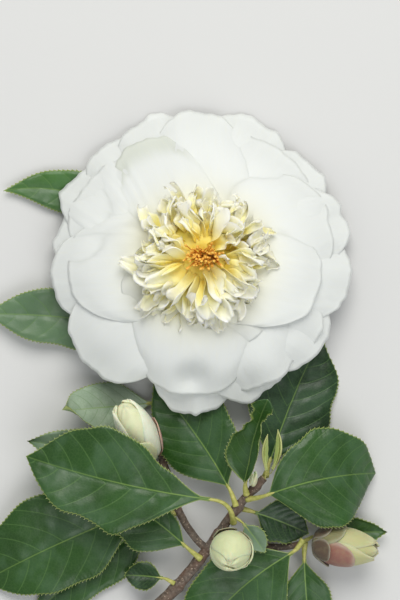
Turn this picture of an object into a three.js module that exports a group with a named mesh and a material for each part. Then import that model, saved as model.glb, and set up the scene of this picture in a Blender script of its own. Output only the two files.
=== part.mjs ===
// Cut flowering sprig of a garden camellia, lying with its bloom facing up.
// A woody stem with a slanting cut at its foot carries stiff toothed leaves, three flower
// buds and a pair of opening leaf buds. A side twig runs under them to one large double
// bloom, whose arched outer petals rest their far rims on the surface it lies on.
// Millimetres and degrees, +Z up. Headings are in plan: 0 along +X, 90 along +Y.

import * as THREE from 'three';

// Driving dimensions

const BLOOM = {
  x: 0,
  y: 12.7,
  rimHeight: 8.9,
  domeHeight: 15,
  domeRadius: 50,
  tiltDrop: 0.14,
  petalThickness: 1.2,
  gap: 0.4,
};

// Each outer petal: where it points, how far it reaches and half the angle it spans.
const BACK_PETALS = [
  { angle: 111, reach: 52, half: 17 },
  { angle: 69, reach: 52.3, half: 17 },
  { angle: 38, reach: 48.6, half: 18 },
  { angle: 17, reach: 50, half: 15 },
  { angle: -7, reach: 50, half: 18 },
  { angle: -39, reach: 48, half: 19 },
  { angle: -67, reach: 48.4, half: 17 },
  { angle: -93, reach: 50.6, half: 18 },
  { angle: -138, reach: 47, half: 19 },
  { angle: -166, reach: 46, half: 18 },
  { angle: 169, reach: 48.4, half: 17 },
  { angle: 150, reach: 52, half: 16 },
  { angle: 131, reach: 49.4, half: 15 },
];
const FRONT_PETALS = [
  { angle: 92, reach: 50.4, half: 20 },
  { angle: 54, reach: 46, half: 22 },
  { angle: 20, reach: 44, half: 21 },
  { angle: -19, reach: 41, half: 21 },
  { angle: -58, reach: 46, half: 18 },
  { angle: -94, reach: 43.6, half: 26 },
  { angle: -137, reach: 49.6, half: 21 },
  { angle: 187, reach: 49, half: 19 },
  { angle: 148, reach: 45, half: 24 },
];

// A petal's end is round: it falls back by this share where it meets the next petal.
const PETAL_END = { fallBack: 0.12, roundness: 2.4, widest: 1.2 };

const CENTRE_MASS = {
  acrossX: 25.6,
  acrossY: 22.6,
  height: 20,
  lumps: 11,
  lumpDepth: 1.4,
  dimpleDepth: 5,
  dimpleShare: 0.3,
  rimHeight: 0.6,
};
const CALYX = { radius: 8.5, lobes: 6, lobeDepth: 0.5, depth: 9, wall: 1.2 };

const LEAF = {
  thickness: 0.8,
  stalkRadius: 0.95,
  tipHalfWidth: 0.4,
  belly: 0.82,
  fullness: 0.74,
  tipTaper: 0.1,
  waves: 9,
  leftPhase: 0.8,
  rightPhase: 2.6,
  steps: 10,
  walks: 6,
  cells: 4,
};

// Each leaf: where its stalk leaves the wood (base, leave, rise, petiole), how the blade
// then runs (heading, turn, pitch, droop), its length and width, how much wider its left
// half is (skew), how it rolls from base to tip (roll, twist), and how its halves fold up
// and its margin waves.
const LEAVES = {
  leaf_big_left: {
    base: [11, -73.4, 15.4], leave: 100, rise: 40, petiole: 13, heading: 172, turn: -10,
    pitch: 8, droop: -22, length: 63.5, width: 32, skew: -0.06, roll: 0, twist: 0, fold: 7, wave: 1.2,
  },
  leaf_low_left: {
    base: [-11.4, -69.6, 5.4], leave: 175, rise: 20, petiole: 8, heading: 200, turn: 10,
    pitch: 6, droop: -24, length: 63, width: 33, skew: -0.08, roll: 0, twist: 0, fold: 6, wave: 1,
  },
  leaf_under_left: {
    base: [-9.6, -72.6, 4.2], leave: 190, rise: 0, petiole: 7, heading: 214, turn: 8,
    pitch: -2, droop: -2, length: 52, width: 20, skew: 0, roll: 0, twist: 0, fold: 4, wave: 0.5,
  },
  leaf_fork: {
    base: [-1.4, -86, 10.6], leave: 140, rise: 10, petiole: 5, heading: 137, turn: 16,
    pitch: 3, droop: -6, length: 34, width: 19, skew: 0.3, roll: 0, twist: 0, fold: 4, wave: 0.5,
  },
  leaf_foot: {
    base: [-10.6, -94.8, 8.4], leave: 150, rise: 0, petiole: 2.5, heading: 172, turn: 10,
    pitch: -4, droop: -10, length: 13, width: 11, skew: 0, roll: 0, twist: 0, fold: 8, wave: 0.4,
  },
  leaf_curled_left: {
    base: [-13, -35.4, 3.4], leave: 165, rise: 10, petiole: 4, heading: 186, turn: -6,
    pitch: 0, droop: 54, length: 34, width: 17, skew: 0, roll: -6, twist: 50, fold: 6, wave: 0.7,
  },
  leaf_tip_left: {
    base: [-16, -56.5, 3.4], leave: 170, rise: 10, petiole: 6, heading: 165, turn: 6,
    pitch: 8, droop: 4, length: 38, width: 12, skew: 0, roll: 0, twist: 0, fold: 10, wave: 0.6,
  },
  leaf_centre: {
    base: [11.4, -67.2, 13.6], leave: 108, rise: 0, petiole: 5, heading: 119, turn: 14,
    pitch: -10, droop: -2, length: 44, width: 27, skew: 0, roll: -14, twist: 8, fold: 5, wave: 0.7,
  },
  leaf_curled_top: {
    base: [15.2, -63.4, 16.2], leave: 95, rise: 30, petiole: 3, heading: 84, turn: -16,
    pitch: 24, droop: 14, length: 34, width: 17, skew: 0, roll: -50, twist: 20, fold: 28, wave: 1,
  },
  leaf_right: {
    base: [17.6, -66.6, 14.8], leave: 10, rise: 30, petiole: 6, heading: 22, turn: -28,
    pitch: 17, droop: -78, length: 44, width: 32, skew: 0, roll: 0, twist: 0, fold: 4, wave: 0.8,
  },
  leaf_bottom: {
    base: [33.6, -82.8, 9.8], leave: 235, rise: 0, petiole: 4, heading: 210, turn: 30,
    pitch: -2, droop: -17, length: 51, width: 33, skew: 0.14, roll: 0, twist: 0, fold: 5, wave: 0.8,
  },
  leaf_bottom_right: {
    base: [35.4, -84.4, 6.4], leave: 268, rise: -15, petiole: 4, heading: 272, turn: 8,
    pitch: -5, droop: -4, length: 34, width: 17, skew: 0, roll: 0, twist: 0, fold: 5, wave: 0.5,
  },
  leaf_small: {
    base: [13, -74, 12.4], leave: 330, rise: 10, petiole: 2.5, heading: 310, turn: -8,
    pitch: -4, droop: -6, length: 11, width: 6.6, skew: 0, roll: 0, twist: 0, fold: 10, wave: 0.4,
  },
  leaf_dark_right: {
    base: [15.2, -70.8, 9], leave: 345, rise: -10, petiole: 4, heading: 341, turn: -6,
    pitch: -10, droop: 10, length: 19.5, width: 15, skew: 0, roll: 0, twist: 0, fold: 3, wave: 0.4,
  },
  leaf_behind_right: {
    base: [22.6, -57.6, 11], leave: 75, rise: -45, petiole: 4, heading: 71, turn: -8,
    pitch: -14, droop: 8, length: 47, width: 29, skew: 0, roll: 0, twist: 0, fold: 5, wave: 0.7,
  },
  leaf_right_bud: {
    base: [37, -81, 5.2], leave: 30, rise: -20, petiole: 3, heading: 6, turn: -6,
    pitch: -6, droop: 8, length: 24, width: 10, skew: 0, roll: 0, twist: 0, fold: 6, wave: 0.8,
  },
  leaf_upper_left: {
    base: [-4.4, 4, 3], leave: 130, rise: -8, petiole: 12, heading: 123, turn: 68,
    pitch: -1.5, droop: 4, length: 64, width: 17, skew: 0, roll: 0, twist: 0, fold: 4, wave: 0.5,
  },
  leaf_mid_left: {
    base: [-9, -11.6, 2.4], leave: 180, rise: 5, petiole: 8, heading: 167, turn: 14,
    pitch: 4, droop: -4, length: 57, width: 21, skew: 0, roll: 0, twist: 0, fold: 6, wave: 0.7,
  },
  young_leaf_left: {
    base: [22, -58, 17], leave: 90, rise: 20, petiole: 1.5, heading: 96, turn: -18,
    pitch: 12, droop: -6, length: 12, width: 2.6, skew: 0, roll: 40, twist: 0, fold: 20, wave: 0,
  },
  young_leaf_right: {
    base: [24.6, -58, 15.6], leave: 60, rise: 20, petiole: 1.5, heading: 66, turn: 34,
    pitch: 14, droop: -8, length: 14, width: 3, skew: 0, roll: -40, twist: 0, fold: 20, wave: 0,
  },
};

// Each bud: its foot, the way it points, its size, and how far along it is widest.
const BUD = {
  steps: 9,
  sides: 12,
  foot: 0.02,
  tip: 0.985,
  fullness: 0.72,
  scaleRelief: 0.35,
  scalesRound: 3,
  scaleTurn: 2.4,
};
const BUDS = {
  bud_ball: {
    base: [10.8, -79.6, 13.4], heading: 262, pitch: 58, length: 15, radius: 7, widest: 0.5,
  },
  bud_left: {
    base: [-15.2, -53.4, 6.6], heading: 121, pitch: 31, length: 25.5, radius: 6.1, widest: 0.46,
  },
  bud_right: {
    base: [37.6, -81.8, 11], heading: -6, pitch: 4, length: 22.5, radius: 6.4, widest: 0.42,
  },
  bud_tip: {
    base: [17.4, -62, 17], heading: 78, pitch: 40, length: 5, radius: 1.3, widest: 0.4,
  },
};

// Woody parts: a knobbly tapering tube along each path.
const WOOD = { steps: 18, sides: 8, knotWidth: 0.035 };
const STEMS = {
  main_stem: {
    path: [[-25, -113.5, 2.7], [-9.5, -99, 6], [1.9, -85.1, 8.5], [12.8, -69.5, 12.3], [21.5, -59.7, 14.4]],
    footRadius: 2.3, tipRadius: 1.3, cutSlope: 0.8,
    knots: [0.16, 0.34, 0.5, 0.66, 0.82], knotSwell: 0.4,
  },
  bloom_twig: {
    path: [[-0.9, -82, 6.4], [-7.3, -71.3, 4.6], [-13, -52, 2], [-11, -32, 1.9],
      [-6, -12, 1.9], [-1.5, 4, 3.4], [0.3, 11.2, 7.6]],
    footRadius: 1.3, tipRadius: 1.5, cutSlope: 0, knots: [0.3, 0.55, 0.8], knotSwell: 0.25,
  },
  right_twig: {
    path: [[8, -83.6, 5.4], [18, -83.8, 3], [28, -84, 3.6], [34.6, -82.6, 7.2]],
    footRadius: 1.2, tipRadius: 1.1, cutSlope: 0, knots: [0.6], knotSwell: 0.2,
  },
};

const FINISHES = {
  leaf: { color: 0x2f5a2c, roughness: 0.35, metalness: 0 },
  wood: { color: 0x6e5546, roughness: 0.85, metalness: 0 },
  petal: { color: 0xf4f3ec, roughness: 0.55, metalness: 0 },
  centre: { color: 0xf3e3a0, roughness: 0.6, metalness: 0 },
  bud: { color: 0xdfe3a8, roughness: 0.5, metalness: 0 },
  calyx: { color: 0x8a9a4a, roughness: 0.6, metalness: 0 },
};

const rad = THREE.MathUtils.degToRad;
const mix = THREE.MathUtils.lerp;
const ease = (t) => THREE.MathUtils.smoothstep(t, 0, 1);
const UP = new THREE.Vector3(0, 0, 1);

// A closed skin over rings of equal, even point counts. Each end is closed by a strip of
// faces between the ring's first half and its second half.
function loft(rings) {
  const count = rings[0].length;
  const points = rings.flat();
  const faces = [];
  for (let r = 0; r + 1 < rings.length; r++) {
    for (let i = 0; i < count; i++) {
      const a = r * count + i;
      const b = r * count + ((i + 1) % count);
      faces.push(a, b, b + count, a, b + count, a + count);
    }
  }
  const last = (rings.length - 1) * count;
  for (let i = 0; i + 1 < count / 2; i++) {
    const far = count - 1 - i;
    faces.push(i, far, i + 1, i + 1, far, far - 1);
    faces.push(last + i, last + i + 1, last + far, last + i + 1, last + far - 1, last + far);
  }
  const volume = signedVolume(points, faces);
  if (volume < 0) faces.reverse();
  const geometry = new THREE.BufferGeometry().setFromPoints(points);
  geometry.setIndex(faces);
  geometry.computeVertexNormals();
  return geometry;
}

function signedVolume(points, faces) {
  let sum = 0;
  const cross = new THREE.Vector3();
  for (let f = 0; f < faces.length; f += 3) {
    cross.crossVectors(points[faces[f + 1]], points[faces[f + 2]]);
    sum += points[faces[f]].dot(cross);
  }
  return sum / 6;
}

// The direction of a heading and pitch, and the level direction to its left.
function bearing(heading, pitch) {
  const level = Math.cos(rad(pitch));
  const along = new THREE.Vector3(
    level * Math.cos(rad(heading)),
    level * Math.sin(rad(heading)),
    Math.sin(rad(pitch)),
  );
  const left = new THREE.Vector3(-Math.sin(rad(heading)), Math.cos(rad(heading)), 0);
  return { along, left };
}

// Half the blade's width at t from 0 to 1: full in the middle, drawn out to a point.
function bladeWidth(t) {
  const oval = Math.sin(Math.PI * Math.pow(t, LEAF.belly));
  return Math.pow(Math.max(oval, 0), LEAF.fullness) * (1 - LEAF.tipTaper * t * t);
}

// A leaf is a thin blade on a short stalk, laid along a path that turns and droops.
function leafBlade(leaf) {
  const total = leaf.petiole + leaf.length;
  const point = new THREE.Vector3(...leaf.base);
  const rings = [];
  for (let i = 0; i <= LEAF.steps; i++) {
    const distance = (total * i) / LEAF.steps;
    const t = Math.max(0, (distance - leaf.petiole) / leaf.length);
    const { along, left } = bearing(...course(leaf, distance));
    const roll = mix(leaf.roll, leaf.roll + leaf.twist, t);
    const up = new THREE.Vector3().crossVectors(along, left);
    const side = left.clone().applyAxisAngle(along, rad(roll));
    up.applyAxisAngle(along, rad(roll));
    const spread = bladeWidth(t);
    const half = Math.max(mix(LEAF.stalkRadius, LEAF.tipHalfWidth, ease(t)),
      (leaf.width / 2) * spread);
    const thick = mix(2 * LEAF.stalkRadius, LEAF.thickness, ease(distance / leaf.petiole));
    rings.push(bladeSection(leaf, point, side, up, half, thick, t, spread));
    for (let k = 0; k < LEAF.walks; k++) {
      const step = total / LEAF.steps / LEAF.walks;
      const ahead = bearing(...course(leaf, distance + (k + 0.5) * step)).along;
      point.addScaledVector(ahead, step);
    }
  }
  return loft(rings);
}

// Heading and pitch at a distance along a leaf: the stalk bends into the blade's course.
function course(leaf, distance) {
  if (distance < leaf.petiole) {
    const t = ease(distance / leaf.petiole);
    return [mix(leaf.leave, leaf.heading, t), mix(leaf.rise, leaf.pitch, t)];
  }
  const t = (distance - leaf.petiole) / leaf.length;
  return [leaf.heading + leaf.turn * t, leaf.pitch + leaf.droop * t];
}

// One cross-section: upper face left to right, then the lower face back.
function bladeSection(leaf, centre, side, up, half, thick, t, spread) {
  const across = [];
  for (let c = 0; c <= LEAF.cells; c++) across.push((2 * c) / LEAF.cells - 1);
  const at = (u, face) => {
    const reach = u * half * (1 + leaf.skew * Math.sign(u));
    const lift = Math.abs(reach) * Math.sin(rad(leaf.fold));
    const phase = u > 0 ? LEAF.leftPhase : LEAF.rightPhase;
    const ripple = leaf.wave * spread * u * u * Math.sin(LEAF.waves * t + phase);
    return centre.clone()
      .addScaledVector(side, reach * Math.cos(rad(leaf.fold)))
      .addScaledVector(up, lift + ripple + (face * thick) / 2);
  };
  return [...across.map((u) => at(u, 1)), ...across.reverse().map((u) => at(u, -1))];
}

// A bud: an egg of overlapping scales, each row of scales ending in a small step.
function budEgg(bud) {
  const { along, left } = bearing(bud.heading, bud.pitch);
  const up = new THREE.Vector3().crossVectors(along, left);
  const power = Math.log(0.5) / Math.log(bud.widest);
  const rings = [];
  for (let i = 0; i <= BUD.steps; i++) {
    const t = mix(BUD.foot, BUD.tip, i / BUD.steps);
    const egg = Math.pow(Math.sin(Math.PI * Math.pow(t, power)), BUD.fullness);
    const centre = new THREE.Vector3(...bud.base).addScaledVector(along, bud.length * t);
    const ring = [];
    for (let k = 0; k < BUD.sides; k++) {
      const a = (2 * Math.PI * k) / BUD.sides;
      const scales = Math.cos(BUD.scalesRound * a + BUD.scaleTurn * i);
      const relief = 1 + (BUD.scaleRelief / bud.radius) * scales * egg;
      const r = bud.radius * egg * relief;
      ring.push(centre.clone()
        .addScaledVector(left, r * Math.cos(a))
        .addScaledVector(up, r * Math.sin(a)));
    }
    rings.push(ring);
  }
  return loft(rings);
}

// A woody tube along a path, swollen at its knots. The foot may be cut on a slant.
function woodyTube(stem) {
  const path = new THREE.CatmullRomCurve3(stem.path.map((p) => new THREE.Vector3(...p)));
  const rings = [];
  for (let i = 0; i <= WOOD.steps; i++) {
    const t = i / WOOD.steps;
    const centre = path.getPointAt(t);
    const along = path.getTangentAt(t);
    const side = new THREE.Vector3().crossVectors(UP, along).normalize();
    const up = new THREE.Vector3().crossVectors(along, side);
    const nearest = Math.min(...stem.knots.map((k) => Math.abs(t - k)));
    const swell = stem.knotSwell * Math.exp(-((nearest / WOOD.knotWidth) ** 2));
    const r = mix(stem.footRadius, stem.tipRadius, t) + swell;
    const slope = i === 0 ? stem.cutSlope : 0;
    const ring = [];
    for (let k = 0; k < WOOD.sides; k++) {
      const a = (2 * Math.PI * k) / WOOD.sides;
      ring.push(centre.clone()
        .addScaledVector(side, r * Math.cos(a))
        .addScaledVector(up, r * Math.sin(a))
        .addScaledVector(along, slope * r * Math.sin(a)));
    }
    rings.push(ring);
  }
  return loft(rings);
}

// How far a row of petals reaches at an angle: the longest petal that spans it.
function rowReach(petals, angle) {
  let reach = 0;
  for (const petal of petals) {
    const off = THREE.MathUtils.euclideanModulo(angle - petal.angle + 180, 360) - 180;
    const share = Math.min(Math.abs(off) / petal.half, PETAL_END.widest);
    const fall = PETAL_END.fallBack * Math.pow(share, PETAL_END.roundness);
    reach = Math.max(reach, petal.reach * (1 - fall));
  }
  return reach;
}

// Height of the arched bloom's upper face, before any layer is added to it.
function domeHeight(x, y) {
  const fall = Math.hypot(x, y) / BLOOM.domeRadius;
  return BLOOM.rimHeight + BLOOM.domeHeight * (1 - fall * fall) - BLOOM.tiltDrop * y;
}

// A closed disc on the bloom's axis: shares of its reach on top, then back beneath.
function bloomDisc(reach, top, bottom, topShares, bottomShares, sides) {
  const ringAt = (share, height) => {
    const ring = [];
    for (let k = 0; k < sides; k++) {
      const angle = (360 * k) / sides;
      const r = share * reach(angle);
      const x = r * Math.cos(rad(angle));
      const y = r * Math.sin(rad(angle));
      ring.push(new THREE.Vector3(BLOOM.x + x, BLOOM.y + y, height(x, y, share, angle)));
    }
    return ring;
  };
  return loft([
    ...topShares.map((share) => ringAt(share, top)),
    ...bottomShares.map((share) => ringAt(share, bottom)),
  ]);
}

function petalRow(petals, layer) {
  const lower = (x, y) => domeHeight(x, y) + layer * (BLOOM.petalThickness + BLOOM.gap);
  const upper = (x, y) => lower(x, y) + BLOOM.petalThickness;
  const reach = (angle) => rowReach(petals, angle);
  return bloomDisc(reach, upper, lower, [0.05, 0.35, 0.6, 0.8, 1], [1, 0.8, 0.6, 0.35, 0.05], 60);
}

// The crowded small petals of the middle: one lumpy dome standing on the front row.
function centreMass() {
  const seat = 2 * (BLOOM.petalThickness + BLOOM.gap);
  const reach = (angle) => {
    const x = Math.cos(rad(angle)) / CENTRE_MASS.acrossX;
    const y = Math.sin(rad(angle)) / CENTRE_MASS.acrossY;
    return 1 / Math.hypot(x, y)
      + CENTRE_MASS.lumpDepth * Math.cos(rad(CENTRE_MASS.lumps * angle));
  };
  const lower = (x, y) => domeHeight(x, y) + seat;
  const upper = (x, y, share, angle) => {
    const arch = Math.pow(Math.max(1 - share ** 2.6, 0), 0.6);
    const lump = CENTRE_MASS.lumpDepth * Math.sin(rad(CENTRE_MASS.lumps * angle) + 9 * share);
    const dimple = CENTRE_MASS.dimpleDepth * Math.exp(-((share / CENTRE_MASS.dimpleShare) ** 2));
    return lower(x, y) + (CENTRE_MASS.height - dimple + lump) * arch + CENTRE_MASS.rimHeight;
  };
  return bloomDisc(reach, upper, lower, [0.04, 0.22, 0.45, 0.68, 0.86, 0.96, 1], [1, 0.5, 0.04], 44);
}

// The cup of green scales behind the bloom, down to its twig.
function calyxCup() {
  const reach = (angle) => CALYX.radius + CALYX.lobeDepth * Math.cos(rad(CALYX.lobes * angle));
  const top = (x, y) => domeHeight(x, y) - BLOOM.gap;
  const foot = (x, y, share) => domeHeight(0, 0) - BLOOM.gap
    - CALYX.depth * Math.pow(1 - share * share, 0.6) - CALYX.wall;
  return bloomDisc(reach, top, foot, [0.05, 0.6, 1], [1, 0.85, 0.6, 0.34], 20);
}

const sprig = new THREE.Group();

function add(name, geometry, finish) {
  const mesh = new THREE.Mesh(geometry, new THREE.MeshStandardMaterial(FINISHES[finish]));
  mesh.name = name;
  sprig.add(mesh);
}

for (const [name, stem] of Object.entries(STEMS)) add(name, woodyTube(stem), 'wood');
for (const [name, leaf] of Object.entries(LEAVES)) add(name, leafBlade(leaf), 'leaf');
for (const [name, bud] of Object.entries(BUDS)) add(name, budEgg(bud), 'bud');
add('calyx', calyxCup(), 'calyx');
add('petals_back', petalRow(BACK_PETALS, 0), 'petal');
add('petals_front', petalRow(FRONT_PETALS, 1), 'petal');
add('petals_centre', centreMass(), 'centre');

// The origin is under the middle of the sprig, on the surface it lies on.
const extent = new THREE.Box3().setFromObject(sprig);
const middle = extent.getCenter(new THREE.Vector3());
sprig.position.set(-middle.x, -middle.y, -extent.min.z);

const camellia = new THREE.Group();
camellia.add(sprig);

export default camellia;
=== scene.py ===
import math

import bpy
import numpy as np
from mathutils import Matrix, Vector, noise


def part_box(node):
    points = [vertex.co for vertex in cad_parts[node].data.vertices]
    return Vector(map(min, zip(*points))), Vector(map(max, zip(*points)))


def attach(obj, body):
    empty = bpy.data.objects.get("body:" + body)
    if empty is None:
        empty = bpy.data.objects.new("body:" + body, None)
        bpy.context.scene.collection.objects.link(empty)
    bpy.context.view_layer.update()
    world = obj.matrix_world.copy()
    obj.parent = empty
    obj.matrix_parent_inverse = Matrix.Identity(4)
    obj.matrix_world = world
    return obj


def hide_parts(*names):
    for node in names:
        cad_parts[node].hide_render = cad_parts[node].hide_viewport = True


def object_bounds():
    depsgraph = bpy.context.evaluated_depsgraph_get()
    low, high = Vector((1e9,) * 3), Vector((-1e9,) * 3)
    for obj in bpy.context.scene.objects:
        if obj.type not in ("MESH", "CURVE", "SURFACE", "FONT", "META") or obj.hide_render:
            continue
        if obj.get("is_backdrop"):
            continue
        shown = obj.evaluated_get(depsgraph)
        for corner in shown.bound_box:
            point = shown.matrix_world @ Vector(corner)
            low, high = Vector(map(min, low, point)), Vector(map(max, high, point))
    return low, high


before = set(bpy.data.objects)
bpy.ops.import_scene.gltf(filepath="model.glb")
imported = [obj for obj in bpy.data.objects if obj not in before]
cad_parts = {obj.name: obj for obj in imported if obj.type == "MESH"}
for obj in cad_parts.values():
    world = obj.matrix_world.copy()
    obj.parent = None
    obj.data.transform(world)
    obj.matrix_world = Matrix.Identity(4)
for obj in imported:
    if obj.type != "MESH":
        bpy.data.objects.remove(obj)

cad_box = [list(corner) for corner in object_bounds()]
MM = 0.001

# ------------------------
# The table, light and camera. The sprig lies on a plain pale table under a large soft
# light beyond its bloom, and the camera looks straight down on it. None is part of it.

TABLE_SIDE = 3.0
CAMERA_HEIGHT = 0.82
CAMERA_BELOW_BLOOM = 12.7 * MM

scene = bpy.context.scene
scene.view_settings.view_transform = "Standard"

calyx_low, calyx_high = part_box("calyx")
bloom_x = (calyx_low.x + calyx_high.x) / 2
bloom_y = (calyx_low.y + calyx_high.y) / 2


def new_material(name, base, roughness):
    """A plain material, with its node tree and its shader node."""
    material = bpy.data.materials.new(name)
    material.use_nodes = True
    shader = material.node_tree.nodes["Principled BSDF"]
    shader.inputs["Base Color"].default_value = (*base, 1)
    shader.inputs["Roughness"].default_value = roughness
    return material, material.node_tree, shader


table_mesh = bpy.data.meshes.new("table")
side = TABLE_SIDE / 2
table_mesh.from_pydata([(-side, -side, 0), (side, -side, 0), (side, side, 0), (-side, side, 0)],
                       [], [(0, 1, 2, 3)])
table = bpy.data.objects.new("table", table_mesh)
scene.collection.objects.link(table)
table.data.materials.append(new_material("table_paint", (0.68, 0.68, 0.67), 0.75)[0])
table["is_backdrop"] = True


def soft_light(name, place, size, watts, colour):
    """A round light of the given width, aimed at the bloom."""
    lamp = bpy.data.lights.new(name, "AREA")
    lamp.shape = "DISK"
    lamp.size = size
    lamp.energy = watts
    lamp.color = colour
    holder = bpy.data.objects.new(name, lamp)
    scene.collection.objects.link(holder)
    holder.location = place
    aim = Vector((bloom_x, bloom_y, 0.02)) - Vector(place)
    holder.rotation_euler = aim.to_track_quat("-Z", "Y").to_euler()


soft_light("far_light", (0.05, 0.75, 0.95), 0.9, 10.1, (1.0, 0.985, 0.94))
soft_light("near_light", (0.3, -0.6, 0.9), 0.8, 3.2, (0.98, 0.99, 1.0))

world = bpy.data.worlds.new("studio")
scene.world = world
world.use_nodes = True
background = world.node_tree.nodes["Background"]
background.inputs["Color"].default_value = (0.94, 0.97, 1.0, 1)
background.inputs["Strength"].default_value = 0.43

camera = bpy.data.objects.new("camera", bpy.data.cameras.new("camera"))
scene.collection.objects.link(camera)
camera.data.sensor_width = 36
camera.data.lens = 144
camera.data.clip_start = 0.01
camera.location = (bloom_x, bloom_y - CAMERA_BELOW_BLOOM, CAMERA_HEIGHT)
scene.camera = camera

# ------------------------
# The woody stem and its two twigs: brown bark with long cracks, collars of old leaf scars
# and pale breathing pores, and at the foot a slanting cut through pale wood.

BLOOM = np.array([0, 12.7, 27.44])
bloom_place = np.array([bloom_x, bloom_y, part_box("petals_front")[1].z])

WOOD_STEPS = 240
WOOD_SIDES = 40
BARK_RELIEF = 0.09
KNOT_LENGTH = 1.6
SCAR_TURN = 2.4
CUT_EASING = 3.0
PORES_PER_M2 = 260000
PORE_RADIUS = 0.17 * MM

STEMS = {
    "main_stem": dict(
        path=[(-25, -113.5, 2.7), (-9.5, -99, 6), (1.9, -85.1, 8.5), (12.8, -69.5, 12.3),
              (21.5, -59.7, 14.4)],
        foot=2.3, tip=1.3, cut=0.8, knots=(0.16, 0.34, 0.5, 0.66, 0.82, 0.95), swell=0.55),
    "bloom_twig": dict(
        path=[(2.4, -84.2, 8.6), (-1.6, -80.6, 6.6), (-7.3, -71.3, 4.6), (-13, -52, 2), (-11, -32, 1.9),
              (-6, -12, 1.9), (-1.5, 4, 3.4), (0.3, 11.2, 7.6)],
        foot=1.3, tip=1.5, cut=0, knots=(0.3, 0.55, 0.8), swell=0.3),
    "right_twig": dict(
        path=[(3, -83.6, 8.7), (8.5, -84.2, 5.6), (18, -83.8, 3), (28, -84, 3.6), (34.6, -82.6, 7.2)],
        foot=1.2, tip=1.1, cut=0, knots=(0.6,), swell=0.25),
}


def smooth_path(points, count):
    """Evenly spaced points, directions and total length of a smooth curve."""
    p = np.array(points, float)
    p = np.vstack([2 * p[0] - p[1], p, 2 * p[-1] - p[-2]])
    t = np.linspace(0, 1, 60, endpoint=False)[:, None]
    spans = [0.5 * (2 * b + (c - a) * t + (2 * a - 5 * b + 4 * c - d) * t ** 2
                    + (3 * b - a - 3 * c + d) * t ** 3)
             for a, b, c, d in zip(p, p[1:], p[2:], p[3:])]
    fine = np.vstack(spans + [p[-2:-1]])
    run = np.concatenate([[0], np.cumsum(np.linalg.norm(np.diff(fine, axis=0), axis=1))])
    even = np.linspace(0, run[-1], count)
    line = np.stack([np.interp(even, run, fine[:, k]) for k in range(3)], 1)
    return line, unit(np.gradient(line, axis=0)), run[-1]


def unit(vectors):
    return vectors / np.linalg.norm(vectors, axis=-1, keepdims=True)


def field(*values):
    """A grid of vectors from values that run along it, across it or both ways."""
    return np.stack(np.broadcast_arrays(*values), -1)


def grain(points, size, seed):
    """Smooth noise, from about -1 to 1, at each of an array of points."""
    shift = Vector((seed, -seed, 2 * seed))
    flat = np.asarray(points).reshape(-1, 3) / size
    values = [noise.noise(Vector(p) + shift) for p in flat]
    return np.array(values).reshape(np.asarray(points).shape[:-1])


def close_rings(skin):
    """Points and faces of a closed skin of rings, with a middle point at each end."""
    rows, sides = skin.shape[:2]
    points = np.vstack([skin.reshape(-1, 3), skin[0].mean(0), skin[-1].mean(0)])
    faces = []
    for r in range(rows - 1):
        for c in range(sides):
            a, b = r * sides + c, r * sides + (c + 1) % sides
            faces.append((a, b, b + sides, a + sides))
    last = (rows - 1) * sides
    for c in range(sides):
        n = (c + 1) % sides
        faces.append((n, c, rows * sides))
        faces.append((last + c, last + n, rows * sides + 1))
    return points, faces


def tube(line, radius, sides, turn=None):
    """A closed tube round a line. The radius has one value per point, or one per vertex."""
    ahead = unit(np.gradient(line, axis=0))
    across = unit(np.cross([0, 0, 1], ahead))
    over = np.cross(ahead, across)
    angle = np.linspace(0, 2 * np.pi, sides, endpoint=False)[None, :, None]
    radius = np.asarray(radius, float)
    radius = radius[:, :, None] if radius.ndim == 2 else radius[:, None, None]
    skin = line[:, None] + radius * (across[:, None] * np.cos(angle) + over[:, None] * np.sin(angle))
    if turn is not None:
        skin = skin + turn[:, :, None] * ahead[:, None]
    return close_rings(skin)


def put(points):
    """Moves points from the sprig's own millimetres, its bloom at BLOOM, into the frame."""
    return (np.asarray(points) - BLOOM) * MM + bloom_place


def mesh_piece(name, points, faces, materials, kinds=None, uv=None, **marks):
    """A smooth mesh object. Kinds pick a material per face, marks are colours per point."""
    mesh = bpy.data.meshes.new(name)
    mesh.from_pydata(np.asarray(points).tolist(), [], [tuple(face) for face in faces])
    for material in materials:
        mesh.materials.append(material)
    if kinds is not None:
        mesh.polygons.foreach_set("material_index", np.asarray(kinds, np.int32))
    mesh.polygons.foreach_set("use_smooth", np.ones(len(mesh.polygons), bool))
    if uv is not None:
        corners = np.zeros(len(mesh.loops), np.int32)
        mesh.loops.foreach_get("vertex_index", corners)
        layer = mesh.uv_layers.new(name="UVMap")
        layer.data.foreach_set("uv", np.asarray(uv, np.float32)[corners].ravel())
    for mark, values in marks.items():
        layer = mesh.color_attributes.new(mark, "FLOAT_COLOR", "POINT")
        four = np.ones((len(points), 4), np.float32)
        four[:, :3] = values
        layer.data.foreach_set("color", four.ravel())
    mesh.update()
    piece = bpy.data.objects.new(name, mesh)
    scene.collection.objects.link(piece)
    return piece


def finish(piece, slot, *replaced):
    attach(piece, "root")
    if replaced:
        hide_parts(*replaced)


def wire(tree, made, **inputs):
    """Links or sets a node's inputs by name. i0, i1 and so on go by place."""
    for key, value in inputs.items():
        socket = made.inputs[int(key[1:]) if key[1:].isdigit() else key.replace("_", " ")]
        if isinstance(value, bpy.types.NodeSocket):
            tree.links.new(value, socket)
        else:
            socket.default_value = value


def node(tree, kind, settings=None, **inputs):
    made = tree.nodes.new(kind)
    for key, value in (settings or {}).items():
        setattr(made, key, value)
    wire(tree, made, **inputs)
    return made


def rgba(colour):
    return colour if isinstance(colour, bpy.types.NodeSocket) else (*colour, 1)


def mix_colour(tree, share, first, second):
    return node(tree, "ShaderNodeMix", {"data_type": "RGBA"}, i0=share, i6=rgba(first),
                i7=rgba(second)).outputs[2]


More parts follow.
